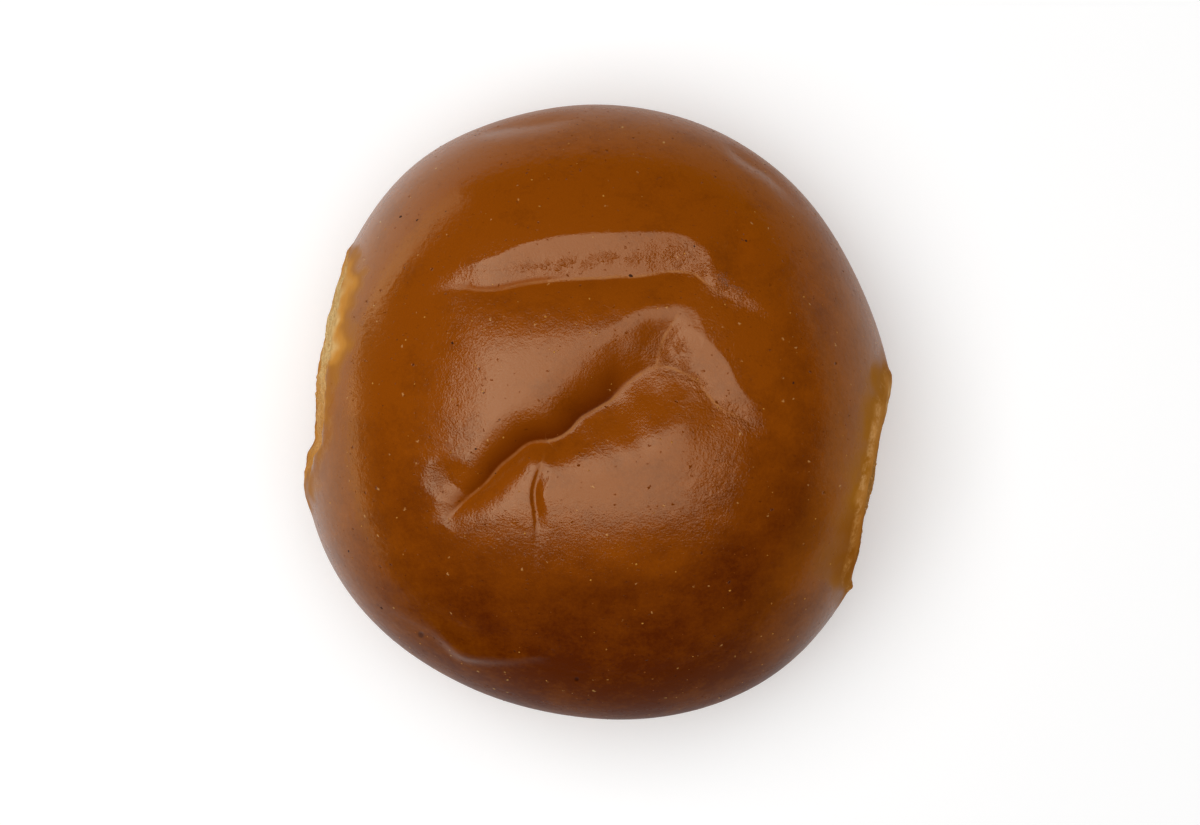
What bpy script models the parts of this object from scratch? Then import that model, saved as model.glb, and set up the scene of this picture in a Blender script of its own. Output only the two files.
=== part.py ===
# Potato bun: one whole, uncut, glossy bun that was baked against its neighbours and pulled off.
# It has a wrinkled crown, two torn sides and a flat base.
# Metres, +Z up. The origin is under the middle of the bun, on the surface that it rests on.
import math

import bmesh
import bpy
import numpy as np
from mathutils import Vector, noise

MM = 0.001

# Overall form
BUN_HEIGHT = 52 * MM
WAIST_HEIGHT = 17 * MM  # height of the widest level
WAIST_RADIUS = 52.0 * MM  # mean radius in plan, before the torn sides
DOME_POWER = 2.1  # 2 is an ellipse, more is squarer
SIDE_POWER = 2.4  # the roll from the waist down to the base
BASE_SHARE = 0.72  # radius of the flat base, as a share of the waist's
SIDE_ANGLE = 0.80 * math.pi  # angle down from the crown at which the base begins
CROWN_SHARE, SIDE_SHARE = 0.60, 0.88  # relief turns from upright to square to the crust between these
LEAST_SLOPE = 0.02  # keeps the crust's direction steady at the crown's top and at the waist
TINY = 1e-6

# How the plan departs from a circle: waves round it, height of each and azimuth of its crest
PLAN_WAVES = [
    (1, 0.62 * MM, -143.8), (2, 1.14 * MM, -76.4), (3, 0.78 * MM, -35.4),
    (4, 0.39 * MM, 32), (5, 0.31 * MM, -9.5), (6, 0.14 * MM, 2.7)]

# Slow unevenness of the risen dough, which fades out towards the flat base
SWELL_HEIGHT = 0.45 * MM
SWELL_LENGTH = 24 * MM
SWELL_FROM, SWELL_FULL = 2 * MM, 10 * MM

# Folds of the crown, in mm seen from above. Each row is a point of the crease line, its depth there, then
# reach and power of the wall on the left of the line's own direction, and of the wall on its right.
# A wall of power 1 is a plain slope, and one of more is steep at the line and eases out.
FOLDS = {
    "main_fold": [
        (-25.3, -18.3, 0.0, 3.0, 1.6, 4.0, 3.0), (-23.5, -15.7, 0.8, 3.6, 1.6, 6.0, 4.0),
        (-21.7, -13.8, 1.5, 4.2, 1.6, 8.0, 4.0), (-18.6, -11.3, 2.0, 4.8, 1.5, 9.0, 4.0),
        (-15.4, -7.9, 2.5, 5.6, 1.5, 9.0, 3.6), (-11.8, -4.9, 2.9, 6.6, 1.5, 8.0, 2.6),
        (-8.1, -4.4, 3.2, 7.4, 1.5, 8.5, 2.0), (-4.9, -2.8, 3.5, 8.2, 1.5, 9.0, 1.6),
        (-2.8, -0.6, 3.7, 8.8, 1.5, 10.0, 1.4), (0.0, 1.0, 3.9, 9.4, 1.5, 11.0, 1.25),
        (1.9, 2.1, 4.0, 9.8, 1.5, 11.3, 1.2), (4.0, 4.4, 4.0, 10.0, 1.5, 11.8, 1.15),
        (6.5, 6.3, 3.9, 9.6, 1.4, 12.3, 1.1), (9.2, 7.6, 3.4, 7.9, 1.05, 12.8, 1.1),
        (13.0, 6.8, 2.7, 6.9, 1.0, 13.5, 1.1), (15.7, 5.3, 2.1, 5.6, 1.0, 13.0, 1.1),
        (17.5, 2.9, 1.7, 4.8, 1.0, 11.0, 1.1), (19.8, 0.6, 1.3, 4.2, 1.05, 8.0, 1.15),
        (23.0, -1.1, 0.7, 3.4, 1.1, 5.0, 1.3), (27.2, -3.2, 0.0, 3.0, 1.1, 4.0, 1.3)],
    "spur_fold": [
        (8.9, 7.3, 3.2, 10.0, 1.3, 8.5, 1.1), (9.7, 10.2, 2.95, 10.0, 1.3, 8.5, 1.1),
        (10.5, 12.5, 2.45, 9.0, 1.3, 7.5, 1.1), (11.5, 14.3, 1.65, 7.0, 1.3, 6.0, 1.1),
        (12.6, 16.2, 0.7, 4.0, 1.2, 4.0, 1.1), (13.9, 18.0, 0.0, 2.5, 1.2, 3.0, 1.1)],
    "upper_fold": [
        (30.8, 13.3, 0.0, 2.0, 2.0, 1.8, 1.7), (25.1, 16.8, 0.4, 5.0, 1.7, 1.8, 1.7),
        (20.2, 19.1, 0.65, 9.0, 1.6, 1.8, 1.7), (17.5, 20.9, 0.9, 12.0, 1.6, 2.2, 1.6),
        (16.2, 22.0, 1.2, 12.5, 1.8, 3.5, 1.5), (14.6, 23.0, 1.7, 12.0, 2.0, 5.5, 1.2),
        (11.7, 23.2, 2.2, 13.0, 2.2, 6.6, 1.15), (6.5, 22.4, 2.3, 13.5, 2.3, 6.8, 1.15),
        (-1.6, 22.0, 2.3, 14.5, 2.3, 7.2, 1.15), (-9.7, 21.5, 2.1, 16.0, 2.3, 6.4, 1.15),
        (-15.4, 20.4, 1.7, 16.0, 2.2, 5.4, 1.2), (-19.4, 20.1, 1.3, 14.0, 2.2, 4.2, 1.2),
        (-22.5, 20.4, 0.9, 11.0, 2.0, 3.8, 1.25), (-25.2, 20.2, 0.5, 8.0, 1.8, 3.2, 1.3),
        (-28.8, 19.3, 0.2, 6.0, 1.6, 2.6, 1.3), (-33.0, 17.8, 0.0, 4.0, 1.5, 2.0, 1.3)],
    "upper_hollow": [
        (24.0, 31.5, 0.0, 3.0, 1.3, 4.6, 1.0), (23.2, 28.6, 0.6, 3.2, 1.3, 4.8, 1.0),
        (22.0, 25.2, 0.7, 3.2, 1.3, 4.3, 1.0), (20.9, 22.6, 0.4, 2.8, 1.3, 3.3, 1.0),
        (20.0, 20.8, 0.0, 2.2, 1.3, 2.5, 1.0)],
    "small_fold": [
        (-8.6, -4.2, 0.25, 3.2, 1.3, 0.5, 1.0), (-9.1, -6.6, 0.55, 2.9, 1.4, 0.45, 1.0),
        (-9.6, -8.8, 0.7, 2.3, 1.4, 0.45, 1.0), (-10.2, -10.6, 0.7, 1.8, 1.3, 0.45, 1.0),
        (-10.7, -12.3, 0.7, 1.5, 1.3, 0.45, 1.0), (-10.8, -14.2, 0.7, 1.5, 1.3, 0.45, 1.0),
        (-10.6, -16.0, 0.65, 1.9, 1.4, 0.45, 1.0), (-10.3, -17.6, 0.5, 2.2, 1.4, 0.5, 1.0),
        (-10.2, -19.4, 0.3, 2.0, 1.5, 0.6, 1.2), (-10.5, -23.0, 0.15, 1.6, 1.5, 0.8, 1.4),
        (-10.3, -26.5, 0.0, 1.4, 1.5, 1.0, 1.5)],
    "heel_fold": [
        (-28.2, -8.6, 0.0, 2.5, 1.4, 3.0, 1.4), (-26.1, -10.0, 0.8, 4.0, 1.4, 3.6, 1.4),
        (-24.1, -11.5, 1.1, 4.5, 1.4, 3.4, 1.4), (-22.0, -13.3, 1.0, 4.5, 1.4, 3.0, 1.4)],
    "top_right_pucker": [
        (20.6, 45.6, 0.0, 2.0, 1.5, 2.0, 1.5), (23.7, 43.1, 0.45, 2.0, 1.5, 2.0, 1.5),
        (29.0, 39.5, 0.4, 2.0, 1.5, 2.0, 1.5), (34.3, 33.5, 0.0, 2.0, 1.5, 2.0, 1.5)],
    "top_left_pucker": [
        (-22.0, 47.0, 0.0, 2.0, 1.5, 2.0, 1.5), (-17.0, 48.2, 0.4, 1.8, 1.4, 3.0, 1.6),
        (-9.0, 49.3, 0.4, 1.8, 1.4, 3.0, 1.6), (-3.0, 49.6, 0.0, 2.0, 1.5, 2.0, 1.5)],
}
# Ridges of the skin, written the same way with a height for the depth
RIDGES = {
    "low_left_ridge": [
        (-38.4, -30.0, 0.0, 1.8, 1.5, 1.2, 1.2), (-34.6, -32.2, 0.12, 2.2, 1.5, 1.2, 1.2),
        (-31.0, -34.2, 0.18, 2.5, 1.5, 1.3, 1.2), (-27.8, -36.0, 0.30, 2.8, 1.5, 1.5, 1.2),
        (-25.4, -37.9, 0.60, 3.2, 1.5, 1.7, 1.2), (-22.6, -39.8, 0.75, 3.6, 1.5, 1.9, 1.2),
        (-17.0, -40.4, 0.62, 3.6, 1.5, 1.7, 1.2), (-11.8, -40.2, 0.30, 3.0, 1.5, 1.4, 1.2),
        (-8.0, -40.0, 0.0, 2.5, 1.5, 1.2, 1.2)],
}
CURVE_STEPS = 8  # stretches between two rows of a crease line
CREASE_ROUNDING = 0.50 * MM  # radius at the bottom of a crease whose narrower wall has ROUND_REACH
ROUND_REACH = 10 * MM
ROUND_POWER = 1.5  # how fast the radius falls with narrower walls
LEAST_ROUNDING = 0.18 * MM
LINE_SOFTENING = 0.01 * MM  # keeps the blending along a crease line finite on the line itself
FOLD_BLEND = 0.7 * MM  # rounding where two folds meet
BLEND_LIMIT = 4  # the rounding is at most so many times the shallower fold's depth
WAVER = 0.22 * MM  # how far a crease strays from its line
WAVER_LENGTH = 3.5 * MM
WAVER_LAYERS = (0.5, 7.5)  # where in the noise the straying in x and in y is read
FOLDS_FADE = 6 * MM  # height above the waist over which the folds come in

# Swellings beside the folds: place in mm, height, reach along and across, and how far it is turned
SWELLINGS = [
    ((14.6, -14.9), 0.95, (13, 9.5), 10), ((25.1, -7.3), 0.8, (10, 9), 0),
    ((-15.4, 2.9), 0.4, (12, 9), 35), ((-28.4, 17.5), -0.55, (7, 7), 0),
    ((16.2, 11.0), 0.35, (5, 5), 0), ((11.0, -3.9), 0.8, (7, 5.5), 0)]

# Torn sides, where the neighbouring buns were: the way each faces, how far out it stands at its foot,
# how much it leans in per metre of height, the radius it curves with in plan, where it begins and ends
# along its width, how far the cut is held off past its ends, how rough it is and how long its lumps are
TORN_SIDES = [
    {"azimuth": 175.5, "distance": 49.6 * MM, "lean": 0.14, "curve": 100 * MM, "begin": -24.5 * MM,
     "end": 9.5 * MM, "end_rise": 1.2 * MM, "roughness": 0.8 * MM, "grain": 4.5 * MM, "grain_start": 2.0},
    {"azimuth": -11.3, "distance": 48.8 * MM, "lean": 0.10, "curve": 2000 * MM, "begin": -20.8 * MM,
     "end": 17.5 * MM, "end_rise": 1.6 * MM, "roughness": 0.8 * MM, "grain": 9 * MM, "grain_start": 9.0}]
TORN_END_WIDTH = 3.0 * MM  # width over which a torn side runs out into the crust at its ends
TORN_END_SLOPE = 0.22  # how fast the cut goes on moving out past its ends
TORN_MARGIN = 1.6 * MM  # the crust this far inside the cut is still shaped by it
TORN_FOOT = 6 * MM  # height at which the distance is measured
TORN_ROUNDING = 0.4 * MM  # radius of the crust's edge round a torn side
TORN_STRETCH = 0.7  # how much taller than wide the lumps are, as a share
TORN_OCTAVES = 3
TORN_FALLOFF = 0.8
TORN_STEP = 2.1  # how much finer each octave of the lumps is
TORN_FADE = 1.5 * MM  # the lumps reach their full height this far behind the crust's edge
EDGE_WANDER = 0.4  # how far the edge follows the lumps, as a share of their height
CRUST_EDGE = 0.5 * MM  # how far the torn crust curls out
CRUST_EDGE_WIDTH = 0.8 * MM

# Mesh
SPHERE_STEPS = 7
CROWDING = 1.5  # how much closer the points lie on the folded crown than below it
TRIANGLES = 9600
FLAT_LIMIT = 0.04 * MM  # points lower than this belong to the flat base

CRUST_COLOUR = (0.36, 0.13, 0.025, 1.0)
CRUST_ROUGHNESS = 0.3


def ease(values, low, high):
    share = np.clip((values - low) / (high - low), 0.0, 1.0)
    return share * share * (3.0 - 2.0 * share)


def clear_scene():
    for old in list(bpy.data.objects):
        bpy.data.objects.remove(old, do_unlink=True)


def crust_material():
    material = bpy.data.materials.new("glossy_brown_crust")
    material.use_nodes = True
    shader = material.node_tree.nodes["Principled BSDF"]
    shader.inputs["Base Color"].default_value = CRUST_COLOUR
    shader.inputs["Roughness"].default_value = CRUST_ROUGHNESS
    shader.inputs["Metallic"].default_value = 0.0
    return material


# The smooth bun: a squarish dome over a rolled-under side and a flat base
def plan_radius(azimuth):
    radius = np.full(len(azimuth), WAIST_RADIUS)
    for order, height, crest in PLAN_WAVES:
        radius += height * np.cos(order * (azimuth - math.radians(crest)))
    return radius


def profile(angle):
    # angle down from the crown: share of the plan radius, and height
    side = np.clip((angle - math.pi / 2) / (SIDE_ANGLE - math.pi / 2), 0.0, 1.0) * math.pi / 2
    base = np.clip((math.pi - angle) / (math.pi - SIDE_ANGLE), 0.0, 1.0)
    dome = np.clip(angle, 0.0, math.pi / 2)
    dome_share = np.sin(dome) ** (2 / DOME_POWER)
    dome_height = WAIST_HEIGHT + (BUN_HEIGHT - WAIST_HEIGHT) * np.cos(dome) ** (2 / DOME_POWER)
    side_share = BASE_SHARE + (1 - BASE_SHARE) * np.clip(np.cos(side), 0, 1) ** (2 / SIDE_POWER)
    side_height = WAIST_HEIGHT * (1 - np.sin(side) ** (2 / SIDE_POWER))
    on_dome = angle < math.pi / 2
    share = np.where(on_dome, dome_share, side_share * base)
    height = np.where(on_dome, dome_height, np.where(base < 1.0, 0.0, side_height))
    return share, height


def smooth_bun(directions):
    azimuth = np.arctan2(directions[:, 1], directions[:, 0])
    angle = np.arccos(np.clip(directions[:, 2], -1.0, 1.0))
    share, height = profile(math.pi * (angle / math.pi) ** CROWDING)
    reach = share * plan_radius(azimuth)
    return np.stack([reach * np.cos(azimuth), reach * np.sin(azimuth), height], axis=1), share


def push_directions(points, share):
    # relief moves straight up on the crown and square to the crust lower down
    rise = (points[:, 2] - WAIST_HEIGHT) / (BUN_HEIGHT - WAIST_HEIGHT)
    steep = np.clip(rise, LEAST_SLOPE, 1.0) ** (DOME_POWER - 1) / (BUN_HEIGHT - WAIST_HEIGHT)
    flat = np.clip(share, LEAST_SLOPE, 1.0) ** (DOME_POWER - 1) / WAIST_RADIUS
    outward = points[:, :2] / np.maximum(np.linalg.norm(points[:, :2], axis=1), TINY)[:, None]
    normals = np.column_stack([outward * flat[:, None], steep])
    normals /= np.linalg.norm(normals, axis=1)[:, None]
    blend = ease(share, CROWN_SHARE, SIDE_SHARE)[:, None]
    mixed = normals * blend + np.array([0.0, 0.0, 1.0]) * (1 - blend)
    return mixed / np.linalg.norm(mixed, axis=1)[:, None]


# Folds: a crease line with a wall on each side
def curve_through(rows):
    rows = np.array(rows, float)
    rows = np.vstack([2 * rows[0] - rows[1], rows, 2 * rows[-1] - rows[-2]])
    t = (np.arange(CURVE_STEPS) / CURVE_STEPS)[:, None]
    pieces = []
    for a, b, c, d in zip(rows[:-3], rows[1:-2], rows[2:-1], rows[3:]):
        cubic = 3 * b - a - 3 * c + d
        pieces.append(0.5 * (2 * b + (c - a) * t + (2 * a - 5 * b + 4 * c - d) * t ** 2 + cubic * t ** 3))
    pieces.append(rows[-2:-1])
    return np.concatenate(pieces)


def along_line(x, y, line):
    # distance from a crease line, how much a point is on its left, and the line's values near it,
    # all blended over the line's stretches so that no stretch shows
    path = curve_through(line)
    weight_sum = np.zeros(len(x))
    left = np.zeros(len(x))
    values = np.zeros((len(x), path.shape[1] - 2))
    for a, b in zip(path[:-1], path[1:]):
        run_x, run_y = b[0] - a[0], b[1] - a[1]
        length = math.hypot(run_x, run_y)
        off_x, off_y = x - a[0], y - a[1]
        t = np.clip((off_x * run_x + off_y * run_y) / length ** 2, 0.0, 1.0)
        distance_sq = (off_x - t * run_x) ** 2 + (off_y - t * run_y) ** 2 + (LINE_SOFTENING / MM) ** 2
        weight = length / distance_sq ** 3
        weight_sum += weight
        left += weight * (run_x * off_y - run_y * off_x > 0)
        values += weight[:, None] * (a[2:] + (b[2:] - a[2:]) * t[:, None])
    distance = (3 * math.pi / 8 / weight_sum) ** 0.2
    return distance, left / weight_sum, (values / weight_sum[:, None]).T


def near_line(x, y, line):
    rows = np.array(line)
    reach = max(rows[:, 3].max(), rows[:, 5].max())
    low, high = rows[:, :2].min(axis=0) - reach, rows[:, :2].max(axis=0) + reach
    return (x > low[0]) & (x < high[0]) & (y > low[1]) & (y < high[1])


def fold_cut(x, y, line):
    # how deep the fold cuts, in mm
    distance, left, (depth, left_reach, left_power, right_reach, right_power) = along_line(x, y, line)
    narrower = np.minimum(left_reach, right_reach) * MM / ROUND_REACH
    rounding = np.maximum(CREASE_ROUNDING * narrower ** ROUND_POWER, LEAST_ROUNDING) / MM
    eased = np.sqrt(distance ** 2 + rounding ** 2) - rounding
    left_wall = np.clip(1 - eased / left_reach, 0.0, 1.0) ** left_power
    right_wall = np.clip(1 - eased / right_reach, 0.0, 1.0) ** right_power
    return np.maximum(depth, 0.0) * (left_wall * left + right_wall * (1 - left))


def deeper_of(first, second):
    # the deeper of two cuts, rounded where they meet and unchanged where one of them is nothing
    blend = np.minimum(FOLD_BLEND / MM, BLEND_LIMIT * np.minimum(first, second)) + TINY
    share = np.clip(0.5 + 0.5 * (first - second) / blend, 0.0, 1.0)
    return second + (first - second) * share + blend * share * (1 - share)


def wavering(points):
    # the plan in mm, gently pushed about so that no crease runs quite smoothly
    spots = points[:, :2] / WAVER_LENGTH
    stray = np.array([[noise.noise(Vector((u, v, layer))) for layer in WAVER_LAYERS] for u, v in spots])
    plan = (points[:, :2] + stray * WAVER) / MM
    return plan[:, 0], plan[:, 1]


def crown_relief(points):
    x, y = wavering(points)
    cut = np.zeros(len(x))
    rise = np.zeros(len(x))
    for line in FOLDS.values():
        near = near_line(x, y, line)
        cut[near] = deeper_of(cut[near], fold_cut(x[near], y[near], line))
    for line in RIDGES.values():
        near = near_line(x, y, line)
        rise[near] += fold_cut(x[near], y[near], line)
    for (mid_x, mid_y), height, (along, across), turn in SWELLINGS:
        c, s = math.cos(math.radians(turn)), math.sin(math.radians(turn))
        u = (x - mid_x) * c + (y - mid_y) * s
        v = (y - mid_y) * c - (x - mid_x) * s
        rise += height * np.exp(-(u / along) ** 2 - (v / across) ** 2)
    return (rise - cut) * MM


def swell(points):
    return np.array([noise.noise(Vector(p) / SWELL_LENGTH) for p in points]) * SWELL_HEIGHT


# Torn sides: a leaning, lumpy face cut into the bun, with the crust curled out round it
def tear_side(points, side):
    facing = math.radians(side["azimuth"])
    out_way = np.array([math.cos(facing), math.sin(facing)])
    along_way = np.array([-math.sin(facing), math.cos(facing)])
    out, along = points[:, :2] @ out_way, points[:, :2] @ along_way
    limit = side["distance"] - along ** 2 / (2 * side["curve"]) - side["lean"] * (points[:, 2] - TORN_FOOT)
    past_end = np.maximum(along - side["end"], side["begin"] - along)
    limit += side["end_rise"] * ease(past_end, -TORN_END_WIDTH / 2, TORN_END_WIDTH / 2)
    limit += TORN_END_SLOPE * np.maximum(past_end, 0.0)
    near = out - limit > -TORN_MARGIN
    grain = np.zeros(len(points))
    for i in np.nonzero(near)[0]:
        height = points[i, 2] * TORN_STRETCH
        spot = Vector((along[i] / side["grain"], height / side["grain"], side["grain_start"]))
        grain[i] = noise.fractal(spot, TORN_FALLOFF, TORN_STEP, TORN_OCTAVES)
    over = out - limit - EDGE_WANDER * side["roughness"] * grain
    back = 0.5 * (over + np.sqrt(over ** 2 + TORN_ROUNDING ** 2))
    torn = ease(over, 0.0, TORN_FADE)
    curl = CRUST_EDGE * np.exp(-((over / CRUST_EDGE_WIDTH) ** 2))
    shift = curl - back + torn * side["roughness"] * grain
    shift[~near] = 0.0
    moved = points.copy()
    moved[:, :2] += shift[:, None] * out_way
    return moved


def bun_mesh():
    bm = bmesh.new()
    bmesh.ops.create_icosphere(bm, subdivisions=SPHERE_STEPS, radius=1.0)
    mesh = bpy.data.meshes.new("bun")
    bm.to_mesh(mesh)
    bm.free()
    return mesh


def shape_bun(mesh):
    directions = np.empty(len(mesh.vertices) * 3)
    mesh.vertices.foreach_get("co", directions)
    directions = directions.reshape(-1, 3)
    directions /= np.linalg.norm(directions, axis=1)[:, None]
    points, share = smooth_bun(directions)
    lift = crown_relief(points) * ease(points[:, 2], WAIST_HEIGHT, WAIST_HEIGHT + FOLDS_FADE)
    lift += swell(points) * ease(points[:, 2], SWELL_FROM, SWELL_FULL)
    points += push_directions(points, share) * lift[:, None]
    for side in TORN_SIDES:
        points = tear_side(points, side)
    points[:, :2] -= (points[:, :2].min(axis=0) + points[:, :2].max(axis=0)) / 2
    mesh.vertices.foreach_set("co", points.ravel())
    mesh.update()


def thin_out(bun):
    # keeps the faces that the folds and the torn sides need, and few on the even crust
    decimate = bun.modifiers.new("fewer_faces", "DECIMATE")
    decimate.ratio = TRIANGLES / len(bun.data.polygons)
    evaluated = bun.evaluated_get(bpy.context.evaluated_depsgraph_get())
    light = bpy.data.meshes.new_from_object(evaluated)
    heavy = bun.data
    bun.modifiers.clear()
    bun.data = light
    bpy.data.meshes.remove(heavy)
    light.name = "bun"
    for vertex in light.vertices:
        if vertex.co.z < FLAT_LIMIT:
            vertex.co.z = 0.0


def build_bun(collection):
    bun = bpy.data.objects.new("bun", bun_mesh())
    collection.objects.link(bun)
    shape_bun(bun.data)
    thin_out(bun)
    bun.data.materials.append(crust_material())
    bun.data.shade_smooth()
    return bun


clear_scene()
potato_bun = bpy.data.collections.new("potato_bun")
bpy.context.scene.collection.children.link(potato_bun)
build_bun(potato_bun)
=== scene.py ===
import math

import bmesh
import bpy
import numpy as np
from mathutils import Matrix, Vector, noise


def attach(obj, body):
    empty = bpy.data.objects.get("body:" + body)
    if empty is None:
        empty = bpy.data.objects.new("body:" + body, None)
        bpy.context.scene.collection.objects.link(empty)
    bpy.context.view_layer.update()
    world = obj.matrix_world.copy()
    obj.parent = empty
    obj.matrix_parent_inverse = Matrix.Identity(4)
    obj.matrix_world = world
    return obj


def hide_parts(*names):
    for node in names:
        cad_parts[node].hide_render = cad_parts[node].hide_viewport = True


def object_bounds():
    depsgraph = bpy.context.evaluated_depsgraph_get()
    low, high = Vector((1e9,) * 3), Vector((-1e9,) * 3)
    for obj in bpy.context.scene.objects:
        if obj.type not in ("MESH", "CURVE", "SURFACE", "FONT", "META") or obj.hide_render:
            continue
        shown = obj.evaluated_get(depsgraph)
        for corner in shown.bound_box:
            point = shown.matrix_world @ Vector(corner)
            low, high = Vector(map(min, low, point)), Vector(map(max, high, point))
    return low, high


# A whole potato bun in a soft studio: glossy folded crown, two torn sides, flat base.
# Everything is in metres. Folds are listed in mm, as seen from above.

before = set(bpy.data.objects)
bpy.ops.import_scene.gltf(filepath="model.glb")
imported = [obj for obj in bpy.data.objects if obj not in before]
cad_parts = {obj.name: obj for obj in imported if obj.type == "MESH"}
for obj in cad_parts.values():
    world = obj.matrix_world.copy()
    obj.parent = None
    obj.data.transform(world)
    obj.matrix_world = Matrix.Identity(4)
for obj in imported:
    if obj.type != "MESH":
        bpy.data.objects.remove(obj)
cadLow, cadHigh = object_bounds()
mm, tiny = 0.001, 1e-6
print("frame loaded, bun box", [round(v / mm, 1) for v in (cadHigh - cadLow)], "mm")

studio = {
    "cameraHeight": 0.590, "cameraAside": (0.36 * mm, -0.10 * mm), "lens": 100.0, "sensor": 36.0,
    "worldLight": 0.02, "floorSize": 3.0, "floorTone": 0.80, "floorRoughness": 0.8, "floorShine": 0.5,
    "floorGlow": 0.25,
    # the soft box overhead is made of strips: from x, to x, watts per square metre
    "boxStrips": [(-0.780, -0.480, 12.0), (-0.480, -0.180, 9.6), (-0.180, 0.150, 7.8), (0.150, 0.530, 6.6)],
    "boxAlong": (-0.56, 0.63), "boxHeight": 0.95,
    # low cards at the sides: azimuth, watts per square metre, width, height, colour
    "lowCards": [(193, 5.5, 1.0, 0.15, (1.0, 0.80, 0.52)), (166, 5.5, 0.4, 0.07, (1.0, 0.80, 0.52)),
                 (141, 5.0, 0.8, 0.28, (1.0, 0.84, 0.60)), (8, 2.2, 1.1, 0.24, (1.0, 0.80, 0.55))],
    "cardDistance": 1.30,
}

bunForm = {
    "height": 52 * mm, "waistHeight": 17 * mm, "waistRadius": 52.0 * mm,
    "domePower": 2.1, "sidePower": 2.4, "baseShare": 0.72, "sideAngle": 0.80 * math.pi,
    # waves round the plan: how many, how high, azimuth of the crest
    "planWaves": [(1, 0.62 * mm, -143.8), (2, 1.14 * mm, -76.4), (3, 0.78 * mm, -35.4), (4, 0.39 * mm, 32),
                  (5, 0.31 * mm, -9.5), (6, 0.14 * mm, 2.7)],
    "swellHeight": 0.45 * mm, "swellLength": 24 * mm, "swellFrom": 2 * mm, "swellFull": 10 * mm,
    "crownShare": 0.60, "sideShare": 0.88, "leastSlope": 0.02,
    # the ball's faces are halved once above this height, and twice within this share of the reach from the
    # middle and this near a torn side
    "crowding": 1.5, "sphereSteps": 6, "fineAbove": 20 * mm, "fineShare": 0.62, "fineMargin": 2.0 * mm,
}

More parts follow.
